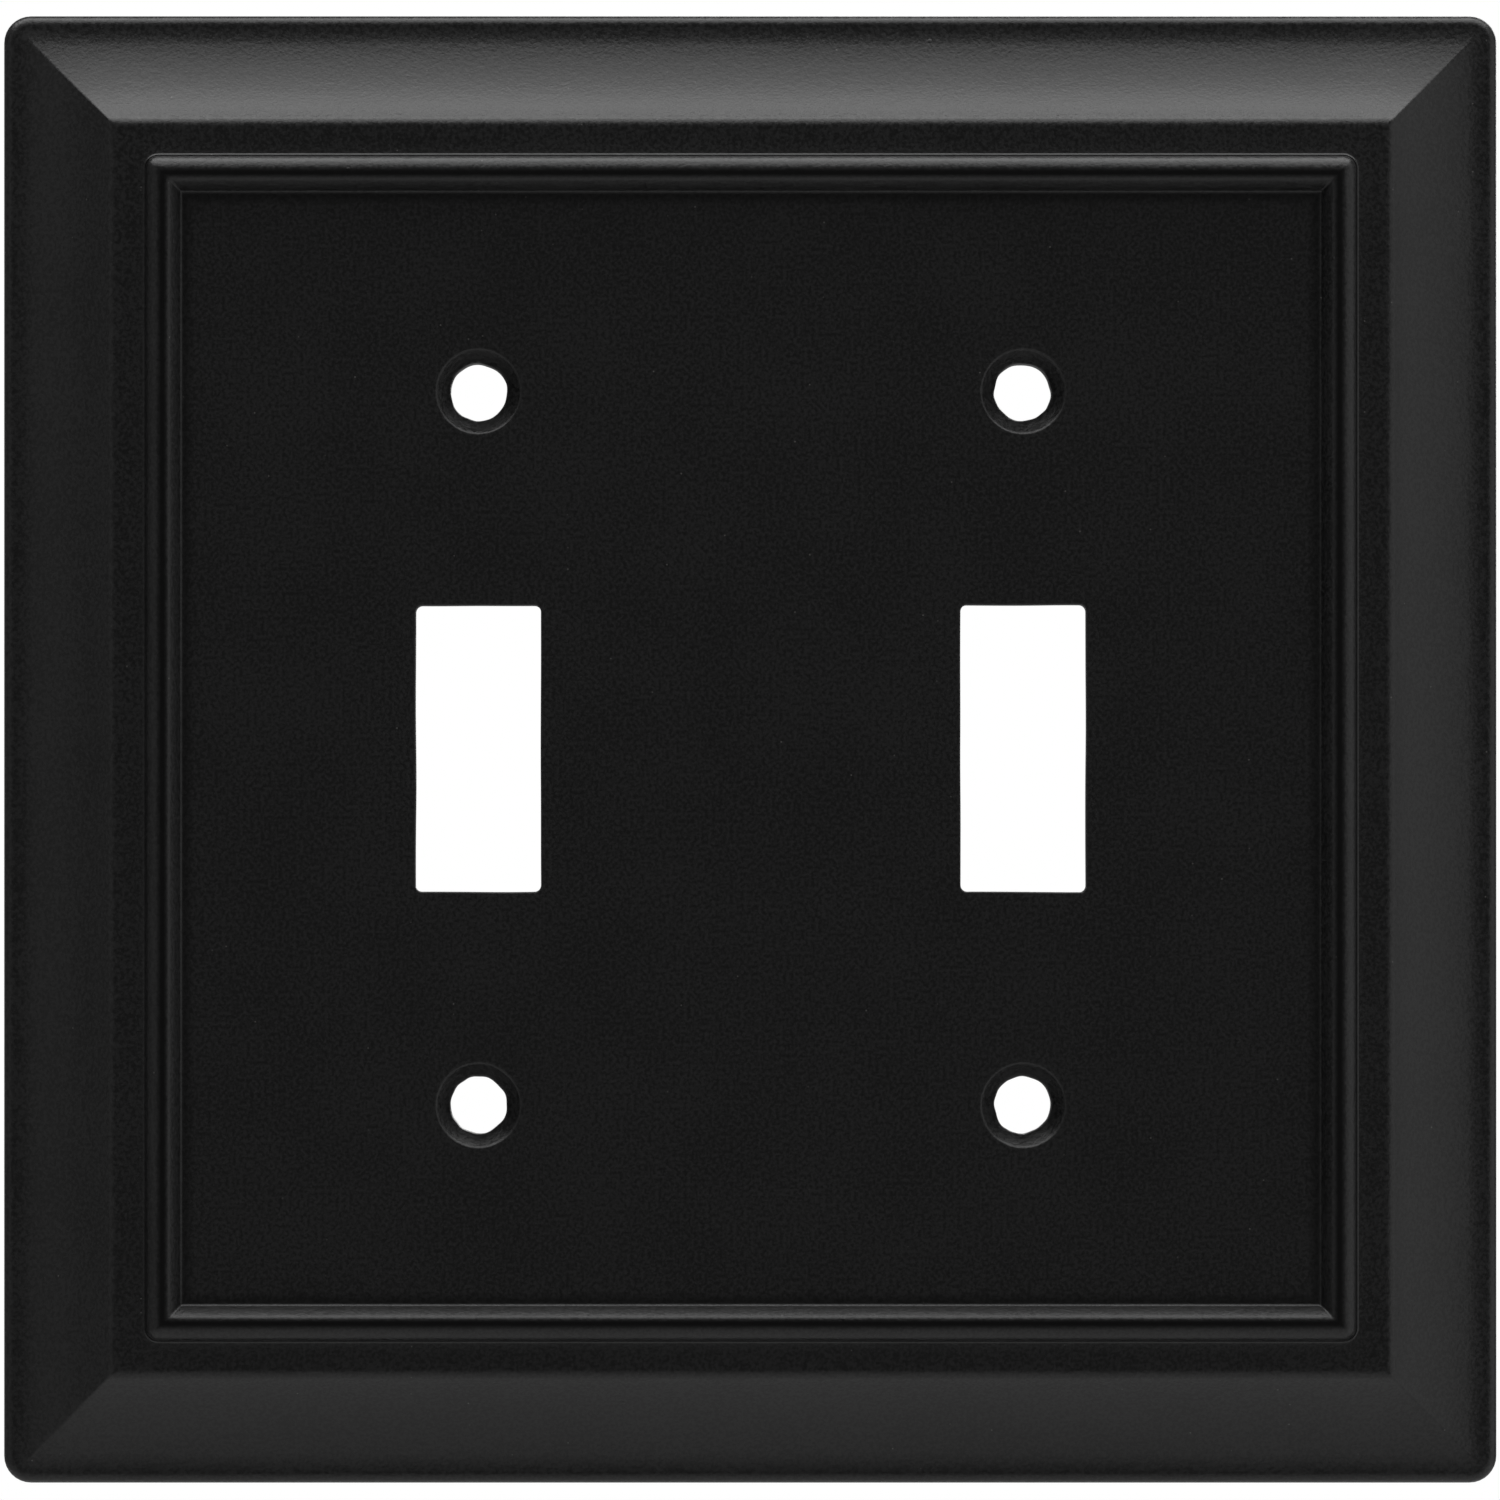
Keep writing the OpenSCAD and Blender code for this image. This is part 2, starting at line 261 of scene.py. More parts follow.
# ---------------------------------------------------------------------------------------------
# Loops of points, in the plane of the plate
# ---------------------------------------------------------------------------------------------
SIDE_STEPS = 26
CORNER_STEPS = 8
HOLE_STEPS = 72


def rounded_loop(half_w, half_h, radius, side_steps=SIDE_STEPS):
    """A rounded rectangle as a counter-clockwise list of points, the same number for every size."""
    points = []
    corners = [(1, 1, 0), (-1, 1, 90), (-1, -1, 180), (1, -1, 270)]
    for index, (sx, sz, start) in enumerate(corners):
        centre = (sx * (half_w - radius), sz * (half_h - radius))
        points += arc(centre, radius, start, start + 90, CORNER_STEPS)
        nx, nz, after = corners[(index + 1) % 4]
        following = (nx * (half_w - radius) + radius * math.cos(math.radians(after)),
                     nz * (half_h - radius) + radius * math.sin(math.radians(after)))
        here = points[-1]
        for step in range(1, side_steps):
            t = step / side_steps
            points.append((here[0] + (following[0] - here[0]) * t,
                           here[1] + (following[1] - here[1]) * t))
    return points


def circle_loop(radius):
    """A circle as a counter-clockwise list of points."""
    angles = [2 * math.pi * i / HOLE_STEPS for i in range(HOLE_STEPS)]
    return [(radius * math.cos(angle), radius * math.sin(angle)) for angle in angles]


def wobbled(points, amount, seed, roughness=1.4):
    """Moves points a little in or out, as paint build-up does round an opening."""
    reach = max(math.hypot(*p) for p in points)
    moved = []
    for x, z in points:
        spot = Vector((x / reach * roughness, z / reach * roughness, seed))
        push = 1 + amount * noise.noise(spot * 2.2) / math.hypot(x, z)
        moved.append((x * push, z * push))
    return moved


def placed(points, x, z):
    """The same points, moved."""
    return [(px + x, pz + z) for px, pz in points]


# ---------------------------------------------------------------------------------------------
# Skin: one closed mesh from rings and flat fills
# ---------------------------------------------------------------------------------------------
class Skin:
    """Points and faces of one closed mesh, in millimetres."""

    def __init__(self):
        self.points = []
        self.faces = []

    def ring(self, loop, height):
        """Adds a ring of points at a height above the wall."""
        first = len(self.points)
        self.points += [(x, -height, z) for x, z in loop]
        return list(range(first, first + len(loop)))

    def bridge(self, low, high):
        """Joins two rings with a band of faces."""
        count = len(low)
        for i in range(count):
            j = (i + 1) % count
            self.faces.append((low[i], low[j], high[j], high[i]))

    def strip(self, rings):
        """Joins each ring to the next."""
        for low, high in zip(rings, rings[1:]):
            self.bridge(low, high)

    def fill(self, outer, holes, spacing=3.2):
        """Fills the flat area between an outer ring and the rings of its openings."""
        height = -self.points[outer[0]][1]
        owners = [i for r in [outer] + holes for i in r]
        flat_points = [Vector((self.points[i][0], self.points[i][2])) for i in owners]
        edges = []
        first = 0
        for r in [outer] + holes:
            edges += [(first + i, first + (i + 1) % len(r)) for i in range(len(r))]
            first += len(r)
        loops = [np.array([(self.points[i][0], self.points[i][2]) for i in r]) for r in [outer] + holes]
        low, high = loops[0].min(axis=0), loops[0].max(axis=0)
        fixed = np.array([tuple(p) for p in flat_points])
        for x in np.arange(low[0] + spacing, high[0] - spacing / 2, spacing):
            for z in np.arange(low[1] + spacing, high[1] - spacing / 2, spacing):
                spot = np.array((x, z))
                near = np.hypot(*(fixed - spot).T).min() < spacing * 0.55
                if near or any(inside(spot, hole) for hole in loops[1:]):
                    continue
                owners.append(len(self.points))
                self.points.append((x, -height, z))
                flat_points.append(Vector((x, z)))
        _, _, faces, origins, _, _ = delaunay_2d_cdt(flat_points, edges, [], 0, 1e-6)
        for face in faces:
            corners = [owners[origins[i][0]] for i in face]
            middle = np.mean([(self.points[i][0], self.points[i][2]) for i in corners], axis=0)
            if inside(middle, loops[0]) and not any(inside(middle, hole) for hole in loops[1:]):
                self.faces.append(tuple(corners))

    def build(self, name):
        """Makes the mesh object, in metres, with its faces turned outwards."""
        mesh = bpy.data.meshes.new(name)
        mesh.from_pydata([(x * MM, y * MM, z * MM) for x, y, z in self.points], [], self.faces)
        shell = bmesh.new()
        shell.from_mesh(mesh)
        bmesh.ops.recalc_face_normals(shell, faces=shell.faces)
        for face in shell.faces:
            face.smooth = True
        shell.to_mesh(mesh)
        shell.free()
        return add_object(name, mesh)


def inside(spot, loop):
    """Is a spot inside a convex loop?"""
    following = np.roll(loop, -1, axis=0)
    side = (following[:, 0] - loop[:, 0]) * (spot[1] - loop[:, 1])
    side -= (following[:, 1] - loop[:, 1]) * (spot[0] - loop[:, 0])
    return bool((side > 0).all() or (side < 0).all())


def add_object(name, mesh):
    piece = bpy.data.objects.new(name, mesh)
    bpy.context.scene.collection.objects.link(piece)
    return piece


# ---------------------------------------------------------------------------------------------
# The cast plate
# ---------------------------------------------------------------------------------------------
def moulding_rings(skin, outline, hollow):
    """One ring for each point of an outline."""
    rings = []
    for inset, height in outline:
        radius = plan_radius(inset, hollow)
        rings.append(skin.ring(rounded_loop(PLATE_W / 2 - inset, PLATE_H / 2 - inset, radius), height))
    return rings


def slot_rings(skin, x, seed):
    """A toggle slot from the panel's face to its back, with paint-rounded edges."""
    back, edge = PANEL_Z - PANEL_T, SLOT_EDGE
    section = [(edge + 0.15, PANEL_Z), (edge, PANEL_Z)]
    section += [(edge - edge * math.sin(math.radians(a)),
                 PANEL_Z - edge + edge * math.cos(math.radians(a))) for a in (18, 36, 54, 72, 90)]
    section += [(0, PANEL_Z - edge - 0.2), (0.02, back + 0.4), (0.02, back + 0.15)]
    section += [(0.05, back + 0.06), (0.15, back), (0.35, back)]
    rings = []
    for index, (grow, height) in enumerate(section):
        loop = rounded_loop(SLOT_W / 2 + grow, SLOT_H / 2 + grow, SLOT_R + grow, side_steps=14)
        amount = 0 if index in (0, len(section) - 1) else SLOT_UNEVEN
        rings.append(skin.ring(placed(wobbled(loop, amount, seed, 0.8), x, 0), height))
    skin.strip(rings)
    return rings[0], rings[-1]


def hole_rings(skin, x, z, seed):
    """A countersunk screw hole from the panel's face through the boss behind it."""
    slope = math.tan(math.radians(SINK_ANGLE / 2))
    sink_bottom = PANEL_Z - (SINK_R - HOLE_R) / slope
    boss_face = PANEL_Z - PANEL_T - BOSS_H
    back = PANEL_Z - PANEL_T
    # The third number is the share of the bore's unevenness that a ring takes on.
    sink_rim = [(SINK_R + 0.35, PANEL_Z, 0), (SINK_R + 0.14, PANEL_Z, 0),
                (SINK_R + 0.05, PANEL_Z - 0.025, 0), (SINK_R - 0.06, PANEL_Z - 0.11, 0),
                (SINK_R - 0.16, PANEL_Z - 0.225, 0.1)]
    sink_foot = [(HOLE_R + 0.3, sink_bottom + 0.3 / slope, 0.4),
                 (HOLE_R + 0.1, sink_bottom + 0.1 / slope, 0.8),
                 (HOLE_R + 0.03, sink_bottom, 1), (HOLE_R, sink_bottom - 0.12, 1)]
    bore_end = [(HOLE_R, boss_face + 0.9, 1), (HOLE_R, boss_face + 0.25, 1),
                (HOLE_R + 0.04, boss_face + 0.1, 1), (HOLE_R + 0.14, boss_face, 1),
                (HOLE_R + 0.3, boss_face, 0)]
    boss_rim = [(BOSS_R - 0.5, boss_face, 0), (BOSS_R - 0.32, boss_face, 0),
                (BOSS_R - 0.22, boss_face + 0.03, 0), (BOSS_R - 0.15, boss_face + 0.12, 0),
                (BOSS_R - 0.12, boss_face + 0.25, 0)]
    boss_foot = [(BOSS_R - 0.02, back - 0.3, 0), (BOSS_R + 0.05, back - 0.12, 0),
                 (BOSS_R + 0.2, back - 0.02, 0), (BOSS_R + 0.35, back, 0), (BOSS_R + 0.5, back, 0)]
    rings = []
    for radius, height, share in sink_rim + sink_foot + bore_end + boss_rim + boss_foot:
        loop = wobbled(circle_loop(radius), HOLE_UNEVEN * share, seed, 1.0)
        rings.append(skin.ring(placed(loop, x, z), height))
    skin.strip(rings)
    return rings[0], rings[-1]


def pin_mark(skin, x, z):
    """A round mark pressed into the panel's back by an ejector pin."""
    back = PANEL_Z - PANEL_T
    floor = back + PIN_MARK_DEPTH
    section = [(PIN_MARK_R + 0.25, back), (PIN_MARK_R + 0.1, back), (PIN_MARK_R, back + 0.04),
               (PIN_MARK_R - 0.04, floor - 0.03), (PIN_MARK_R - 0.12, floor), (PIN_MARK_R - 0.3, floor)]
    rings = [skin.ring(placed(circle_loop(radius), x, z), height) for radius, height in section]
    skin.strip(rings)
    skin.fill(rings[-1], [], 1.2)
    return rings[0]


def plate_skin():
    """The whole casting: front, back, openings and ejector marks."""
    skin = Skin()
    front = moulding_rings(skin, front_outline(), False)
    back_line = back_outline()
    back = [front[0]] + moulding_rings(skin, back_line[1:], True)
    skin.strip(front)
    skin.strip(back)
    front_loops, back_loops = [], []
    for seed, sx in enumerate((-1, 1)):
        loops = slot_rings(skin, sx * GANG_X, 3.1 + 5.7 * seed)
        front_loops.append(loops[0])
        back_loops.append(loops[1])
        for row, sz in enumerate((-1, 1)):
            loops = hole_rings(skin, sx * GANG_X, sz * SCREW_Z, 11.3 + 7.9 * seed + 4.3 * row)
            front_loops.append(loops[0])
            back_loops.append(loops[1])
    for sx in (-1, 0, 1):
        for sz in (-1, 1):
            x, z = sx * (PLATE_W / 2 - PIN_MARK_SIDE), sz * (PLATE_H / 2 - PIN_MARK_END)
            back_loops.append(pin_mark(skin, x, z))
    skin.fill(front[-1], front_loops)
    skin.fill(back[-1], back_loops)
    return skin.build("cast_plate")


# ---------------------------------------------------------------------------------------------
# Materials
# ---------------------------------------------------------------------------------------------
class Nodes:
    """A short way to write a material's node tree."""

    def __init__(self, name):
        self.material = bpy.data.materials.new(name)
        self.material.use_nodes = True
        self.tree = self.material.node_tree
        self.shader = self.tree.nodes["Principled BSDF"]
        self.where = self.tree.nodes.new("ShaderNodeTexCoord").outputs["Object"]

    def link(self, source, target):
        self.tree.links.new(source, target)

    def noise(self, size_mm, detail=2.0, roughness=0.5):
        """Noise whose features are about size_mm across."""
        node = self.tree.nodes.new("ShaderNodeTexNoise")
        node.inputs["Scale"].default_value = 1 / (size_mm * MM)
        node.inputs["Detail"].default_value = detail
        node.inputs["Roughness"].default_value = roughness
        self.link(self.where, node.inputs["Vector"])
        return node.outputs["Fac"]

    def cells(self, size_mm, seed=0.0):
        """Distance to the nearest of random spots about size_mm apart, and that spot's random value."""
        move = self.tree.nodes.new("ShaderNodeVectorMath")
        move.inputs[1].default_value = (seed, seed * 0.7, seed * 1.3)
        self.link(self.where, move.inputs[0])
        node = self.tree.nodes.new("ShaderNodeTexVoronoi")
        node.inputs["Scale"].default_value = 1 / (size_mm * MM)
        self.link(move.outputs["Vector"], node.inputs["Vector"])
        pick = self.tree.nodes.new("ShaderNodeSeparateColor")
        self.link(node.outputs["Color"], pick.inputs["Color"])
        return node.outputs["Distance"], pick.outputs["Red"]

    def inset(self):
        """Distance in from the plate's outer edge, seen from the front, in metres."""
        split = self.tree.nodes.new("ShaderNodeSeparateXYZ")
        self.link(self.where, split.inputs["Vector"])
        across = self.math("SUBTRACT", PLATE_W / 2 * MM, self.math("ABSOLUTE", split.outputs["X"], 0))
        down = self.math("SUBTRACT", PLATE_H / 2 * MM, self.math("ABSOLUTE", split.outputs["Z"], 0))
        return self.math("MINIMUM", across, down)

    def band(self, value, centre_mm, half_mm, soft_mm):
        """1 within half_mm of a centre line, fading to 0 over soft_mm."""
        away = self.math("ABSOLUTE", self.math("SUBTRACT", value, centre_mm * MM), 0)
        return self.remap(away, half_mm * MM, (half_mm + soft_mm) * MM, 1, 0)

    def remap(self, value, low, high, to_low, to_high):
        node = self.tree.nodes.new("ShaderNodeMapRange")
        node.inputs["From Min"].default_value = low
        node.inputs["From Max"].default_value = high
        node.inputs["To Min"].default_value = to_low
        node.inputs["To Max"].default_value = to_high
        self.link(value, node.inputs["Value"])
        return node.outputs["Result"]

    def math(self, operation, a, b):
        node = self.tree.nodes.new("ShaderNodeMath")
        node.operation = operation
        for socket, value in zip(node.inputs, (a, b)):
            if isinstance(value, (int, float)):
                socket.default_value = value
            else:
                self.link(value, socket)
        return node.outputs["Value"]

    def mix(self, share, a, b):
        node = self.tree.nodes.new("ShaderNodeMix")
        node.data_type = "RGBA"
        for name, value in (("Factor", share), ("A", a), ("B", b)):
            if isinstance(value, tuple):
                node.inputs[name].default_value = (*value, 1)
            else:
                self.link(value, node.inputs[name])
        return node.outputs["Result"]

    def bump(self, height, distance_mm, strength, below=None):
        node = self.tree.nodes.new("ShaderNodeBump")
        node.inputs["Strength"].default_value = strength
        node.inputs["Distance"].default_value = distance_mm * MM
        self.link(height, node.inputs["Height"])
        if below is not None:
            self.link(below, node.inputs["Normal"])
        return node.outputs["Normal"]


def satin_paint():
    """Satin black paint over a casting: fine grain, a faint orange peel, dust nibs and pale specks.

    Painted shade: the colour is darkened and the reflection weakened along the crown of the bead and in
    the crease at the panel's border.
    """
    n = Nodes("satin_black_paint")
    cloud = n.noise(9.0, 3.0)
    grain = n.noise(0.30, 2.0, 0.6)
    peel = n.noise(1.0, 2.0)
    inset = n.inset()
    # masks of painted shade: the crown stands in for a dimmer reflection on the bead's top, the crease
    # for shade beside the bead's wall
    crown = n.band(inset, BEAD_CROWN, 0.12, 0.4)
    crease = n.math("MULTIPLY", n.band(inset, PANEL_INSET, 0.15, 0.75),
                    n.remap(inset, (PANEL_INSET - 0.22) * MM, (PANEL_INSET - 0.16) * MM, 0, 0.6))
    painted_shade = n.math("MAXIMUM", crown, crease)
    near, pick = n.cells(2.6)
    nib = n.math("MULTIPLY", n.remap(near, 0.03, 0.075, 1, 0), n.remap(pick, 0.80, 0.82, 0, 1))
    near_speck, pick_speck = n.cells(1.2, 0.031)
    speck = n.math("MULTIPLY", n.remap(near_speck, 0.03, 0.08, 1, 0),
                   n.remap(pick_speck, 0.87, 0.88, 0, 1))
    tone = n.math("ADD", grain, n.remap(cloud, 0.35, 0.65, -0.03, 0.03))
    base = n.mix(n.remap(tone, 0.40, 0.60, 0, 1), (0.0010, 0.0010, 0.0010), (0.0113, 0.0113, 0.0115))
    base = n.mix(speck, base, (0.085, 0.083, 0.08))
    # painted shade along the crown and the crease: darker base colour here and weaker reflection below
    base = n.mix(painted_shade, base, (0.003, 0.003, 0.003))
    n.link(base, n.shader.inputs["Base Color"])
    n.link(n.remap(painted_shade, 0, 1, 0.5, 0.2), n.shader.inputs["Specular IOR Level"])
    n.link(n.remap(grain, 0.3, 0.7, 0.31, 0.39), n.shader.inputs["Roughness"])
    shape = n.bump(peel, 0.035, 0.6)
    shape = n.bump(grain, 0.035, 0.9, shape)
    shape = n.bump(nib, 0.05, 0.5, shape)
    n.link(shape, n.shader.inputs["Normal"])
    n.shader.inputs["IOR"].default_value = 1.5
    return n.material


def screw_paint():
    """The same paint on the screw heads, a little smoother."""
    n = Nodes("screw_head_paint")
    grain = n.noise(0.2, 2.0, 0.6)
    base = n.mix(n.remap(grain, 0.4, 0.7, 0, 1), (0.010, 0.010, 0.0105), (0.016, 0.016, 0.0165))
    n.link(base, n.shader.inputs["Base Color"])
    n.link(n.remap(grain, 0.3, 0.7, 0.3, 0.42), n.shader.inputs["Roughness"])
    n.link(n.bump(grain, 0.02, 0.3), n.shader.inputs["Normal"])
    return n.material


def zinc_plating():
    """Bright zinc on the screws' threads."""
    n = Nodes("zinc_plating")
    stain = n.noise(1.6, 3.0)
    n.link(n.mix(n.remap(stain, 0.35, 0.65, 0, 1), (0.46, 0.47, 0.49), (0.60, 0.60, 0.61)),
           n.shader.inputs["Base Color"])
    n.link(n.remap(stain, 0.3, 0.7, 0.26, 0.42), n.shader.inputs["Roughness"])
    n.link(n.bump(n.noise(0.12), 0.01, 0.2), n.shader.inputs["Normal"])
    n.shader.inputs["Metallic"].default_value = 1.0
    return n.material


PAINT = satin_paint()
HEAD_PAINT = screw_paint()
ZINC = zinc_plating()

plate = plate_skin()
plate.data.materials.append(PAINT)
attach(plate, "plate")
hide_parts("wall_plate")


# ---------------------------------------------------------------------------------------------
# Cradles: U-shaped posts cast behind the ledge, which hold the stowed screws
# ---------------------------------------------------------------------------------------------
def cradle_outline(ceiling):
    """The U, as [across, height] round its outside and then through its mouth."""
    half, throat = CRADLE_W / 2, SCREW_R + CRADLE_GAP
    mouth = arc((0, STOW_Z), throat, 0, 180, 14)
    return [(half, ceiling), (-half, ceiling), (-half, CRADLE_BOTTOM), (-throat, CRADLE_BOTTOM)] + \
        mouth[::-1] + [(throat, CRADLE_BOTTOM), (half, CRADLE_BOTTOM)]


def screw_rim_z(level):
    """Height of a stowed screw's head rim above the plate's middle."""
    return STOW_GAP + SCREW_L if level > 0 else -STOW_GAP


def cradle_mesh(ceiling):
    """All eight cradles: one below each screw's head and one near its tip."""
    head_cone = (HEAD_R - SCREW_R) / math.tan(math.radians(SINK_ANGLE / 2))
    under_head = -HEAD_BAND - head_cone - CRADLE_GAP - CRADLE_T / 2
    near_tip = CRADLE_NEAR_TIP + CRADLE_T / 2 - SCREW_L
    shell = bmesh.new()
    outline = cradle_outline(ceiling)
    for side in (-1, 1):
        for level in (-1, 1):
            for along in (under_head, near_tip):
                x, z = side * (PLATE_W / 2 - STOW_INSET), screw_rim_z(level) + along
                near, far = [[shell.verts.new(((x + across) * MM, -height * MM, (z + end) * MM))
                              for across, height in outline] for end in (-CRADLE_T / 2, CRADLE_T / 2)]
                shell.faces.new(near)
                shell.faces.new(far[::-1])
                for i in range(len(outline)):
                    j = (i + 1) % len(outline)
                    shell.faces.new((near[i], far[i], far[j], near[j]))
    bmesh.ops.recalc_face_normals(shell, faces=shell.faces)
    mesh = bpy.data.meshes.new("screw_cradles")
    shell.to_mesh(mesh)
    shell.free()
    return mesh


cradles = add_object("screw_cradles", cradle_mesh(BEAD_Z - CRADLE_ROOT))
cradles.data.materials.append(PAINT)
rounding = cradles.modifiers.new("rounding", "BEVEL")
rounding.width = 0.15 * MM
rounding.segments = 2
rounding.limit_method = "ANGLE"
rounding.angle_limit = math.radians(40)
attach(cradles, "plate")


# ---------------------------------------------------------------------------------------------
# Mounting screws
# ---------------------------------------------------------------------------------------------
def screw_mesh():
    """A number 6-32 oval-head screw, head up along +Z, with the rim of its head at the origin."""
    around = 48
    head_cone = (HEAD_R - SCREW_R) / math.tan(math.radians(SINK_ANGLE / 2))
    shank_top = -HEAD_BAND - head_cone
    shell = bmesh.new()
    rings = []

    def ring(radius_at, z):
        ring_points = []
        for i in range(around):
            angle = 2 * math.pi * i / around
            radius = radius_at(angle)
            spot = (radius * math.cos(angle) * MM, radius * math.sin(angle) * MM, z * MM)
            ring_points.append(shell.verts.new(spot))
        rings.append(ring_points)

    rows = int((SCREW_L + shank_top) / (THREAD_PITCH / 10))
    for row in range(rows + 1):
        z = -SCREW_L + (SCREW_L + shank_top) * row / rows
        fade = min(1, max(0, (shank_top - z - 0.7) / 0.5))
        tip = min(1, (z + SCREW_L) / 0.5)

        def thread_radius(angle, z=z, fade=fade, tip=tip):
            phase = (z / THREAD_PITCH - angle / (2 * math.pi)) % 1
            tooth = min(1, max(0, (abs(phase - 0.5) * 2 - 0.12) / 0.76))
            radius = SCREW_R - THREAD_DEPTH * tooth * fade
            return min(radius, SCREW_R - 0.55 + 0.55 * tip)

        ring(thread_radius, z)
    dome_r = (HEAD_R ** 2 + HEAD_RISE ** 2) / (2 * HEAD_RISE)
    head_section = [(SCREW_R + 0.1, shank_top + 0.04), (SCREW_R + 0.25, shank_top + 0.2)]
    head_section += [(HEAD_R - 0.12, -HEAD_BAND - 0.14), (HEAD_R - 0.03, -HEAD_BAND - 0.03),
                     (HEAD_R, -HEAD_BAND + 0.04), (HEAD_R, -0.05), (HEAD_R - 0.03, 0.01)]
    for share in (0.985, 0.95, 0.88, 0.75, 0.6, 0.45, 0.3, 0.15):
        radius = HEAD_R * share
        head_section.append((radius, HEAD_RISE - dome_r + math.sqrt(dome_r ** 2 - radius ** 2)))
    for radius, z in head_section:
        ring(lambda angle, radius=radius: radius, z)
    for low, high in zip(rings, rings[1:]):
        for i in range(around):
            j = (i + 1) % around
            shell.faces.new((low[i], low[j], high[j], high[i]))
    shell.faces.new(rings[0][::-1])
    shell.faces.new(rings[-1])
    for face in shell.faces:
        face.smooth = True
        face.material_index = 1 if face.calc_center_median().z < (shank_top - 0.05) * MM else 0
    bmesh.ops.recalc_face_normals(shell, faces=shell.faces)
    mesh = bpy.data.meshes.new("mounting_screw")
    shell.to_mesh(mesh)
    shell.free()
    mesh.materials.append(HEAD_PAINT)
    mesh.materials.append(ZINC)
    return mesh


def cut_drive_slot(screw):
    """Cuts the driver slot across the head."""
    cutter_mesh = bpy.data.meshes.new("driver_slot_cutter")
    shell = bmesh.new()
    bmesh.ops.create_cube(shell, size=1.0)
    size = Vector((2.4 * HEAD_R, DRIVE_W, DRIVE_DEPTH + 1)) * MM
    centre = Vector((0, 0, HEAD_RISE - DRIVE_DEPTH + size.z / MM / 2)) * MM
    for vert in shell.verts:
        vert.co = Vector(a * b for a, b in zip(vert.co, size)) + centre
    shell.to_mesh(cutter_mesh)
    shell.free()
    cutter_mesh.materials.append(HEAD_PAINT)
    cutter = add_object("driver_slot_cutter", cutter_mesh)
    cut = screw.modifiers.new("driver_slot", "BOOLEAN")
    cut.operation = "DIFFERENCE"
    cut.solver = "EXACT"
    cut.object = cutter
    result = bpy.data.meshes.new_from_object(screw.evaluated_get(bpy.context.evaluated_depsgraph_get()))
    screw.modifiers.clear()
    screw.data = result
    bpy.data.objects.remove(cutter)


pattern_screw = add_object("pattern_screw", screw_mesh())
cut_drive_slot(pattern_screw)
finished_screw = pattern_screw.data
bpy.data.objects.remove(pattern_screw)

for body in sorted(name for name in frame["bodies"] if name.startswith("screw_")):
    node = "mounting_" + body
    low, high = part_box(node)
    mesh = finished_screw.copy()
    middle = (low + high) / 2
    rim = Vector((middle.x, middle.y, high.z - HEAD_RISE * MM))
    mesh.transform(Matrix.Translation(rim))
    screw = add_object("threaded_" + body, mesh)
    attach(screw, body)
    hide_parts(node)


# ---------------------------------------------------------------------------------------------
# Camera, lights and surroundings
# ---------------------------------------------------------------------------------------------
scene = bpy.context.scene
scene.view_settings.view_transform = "Standard"

CAMERA_FAR = 0.700  # from the wall plane
CAMERA_LEFT = 0.0066
CAMERA_BELOW = 0.013
VIEW_W = 0.12670  # width of the view at the panel's face
AIM_X, AIM_Z = -0.00007, -0.00014  # the point in the middle of the picture
SENSOR = 36.0
camera_data = bpy.data.cameras.new("camera")
camera_data.sensor_width = SENSOR
camera_data.lens = SENSOR * (CAMERA_FAR - PANEL_Z * MM) / VIEW_W
camera_data.shift_x = (CAMERA_LEFT + AIM_X) / VIEW_W
camera_data.shift_y = (CAMERA_BELOW + AIM_Z) / VIEW_W
camera_data.clip_start = 0.01
camera = bpy.data.objects.new("camera", camera_data)
camera.location = (-CAMERA_LEFT, -CAMERA_FAR, -CAMERA_BELOW)
camera.rotation_euler = (math.radians(90), 0, 0)
scene.collection.objects.link(camera)
scene.camera = camera


def softbox(name, place, size, power):
    """A rectangular light that points at the plate's middle."""
    data = bpy.data.lights.new(name, "AREA")
    data.shape = "RECTANGLE"
    data.size, data.size_y = size
    data.energy = power
    light = bpy.data.objects.new(name, data)
    light.location = place
    light.rotation_euler = (-Vector(place)).to_track_quat("-Z", "Y").to_euler()
    scene.collection.objects.link(light)


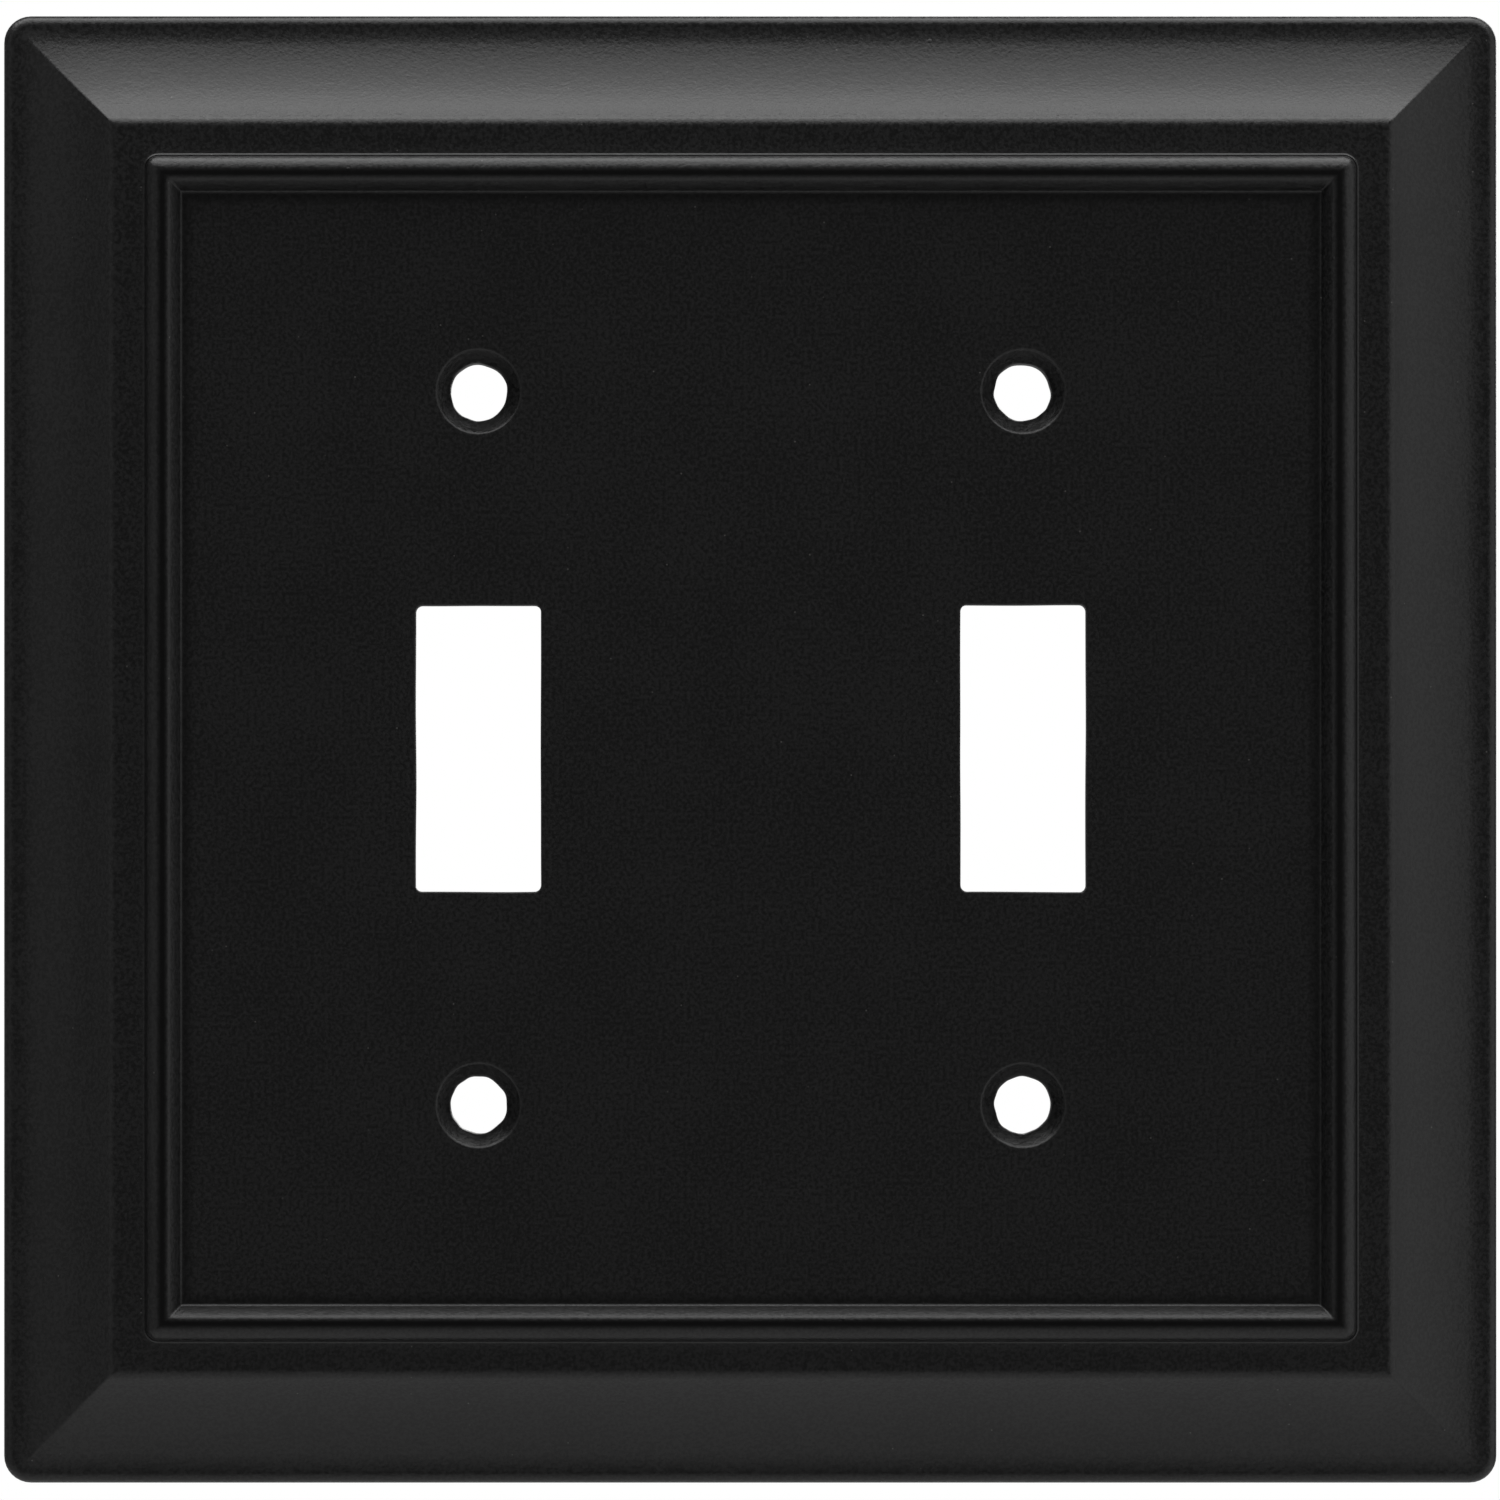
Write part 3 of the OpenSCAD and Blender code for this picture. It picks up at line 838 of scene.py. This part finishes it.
softbox("high_softbox", (0, 0, 0.55), (1.0, 0.18), 2.2)
softbox("front_softbox", (0, -0.22, 0.50), (1.0, 0.30), 1.75)
softbox("right_softbox", (0.52, -0.17, 0.0), (0.55, 1.0), 0.75)
softbox("left_softbox", (-0.45, -0.31, 0.0), (0.30, 1.0), 0.12)
softbox("back_softbox", (0.3, 0.8, 0.35), (0.6, 0.6), 3)

world = bpy.data.worlds.new("studio")
world.use_nodes = True
scene.world = world
tree = world.node_tree
seen = tree.nodes.new("ShaderNodeLightPath")
dim = tree.nodes["Background"]
toward = tree.nodes.new("ShaderNodeSeparateXYZ")
tree.links.new(tree.nodes.new("ShaderNodeTexCoord").outputs["Generated"], toward.inputs["Vector"])
glow = tree.nodes.new("ShaderNodeMapRange")  # the room is darker round the camera
for socket, value in (("From Min", -1.0), ("From Max", -0.75), ("To Min", 0.115), ("To Max", 0.175)):
    glow.inputs[socket].default_value = value
tree.links.new(toward.outputs["Y"], glow.inputs["Value"])
tree.links.new(glow.outputs["Result"], dim.inputs["Strength"])
dim.inputs["Color"].default_value = (1, 1, 1, 1)
white = tree.nodes.new("ShaderNodeBackground")
white.inputs["Color"].default_value = (1, 1, 1, 1)
either = tree.nodes.new("ShaderNodeMixShader")
tree.links.new(seen.outputs["Is Camera Ray"], either.inputs["Fac"])
tree.links.new(dim.outputs["Background"], either.inputs[1])
tree.links.new(white.outputs["Background"], either.inputs[2])
tree.links.new(either.outputs["Shader"], tree.nodes["World Output"].inputs["Surface"])


def studio_floor():
    """A pale round floor below the plate."""
    shell = bmesh.new()
    bmesh.ops.create_circle(shell, cap_ends=True, radius=1.5, segments=96)
    mesh = bpy.data.meshes.new("floor")
    shell.to_mesh(mesh)
    shell.free()
    floor = add_object("floor", mesh)
    floor.location = (0, 0, -0.35)
    n = Nodes("pale_floor")
    n.link(n.mix(n.noise(60), (0.74, 0.74, 0.74), (0.78, 0.78, 0.78)), n.shader.inputs["Base Color"])
    n.shader.inputs["Roughness"].default_value = 0.9
    mesh.materials.append(n.material)


studio_floor()
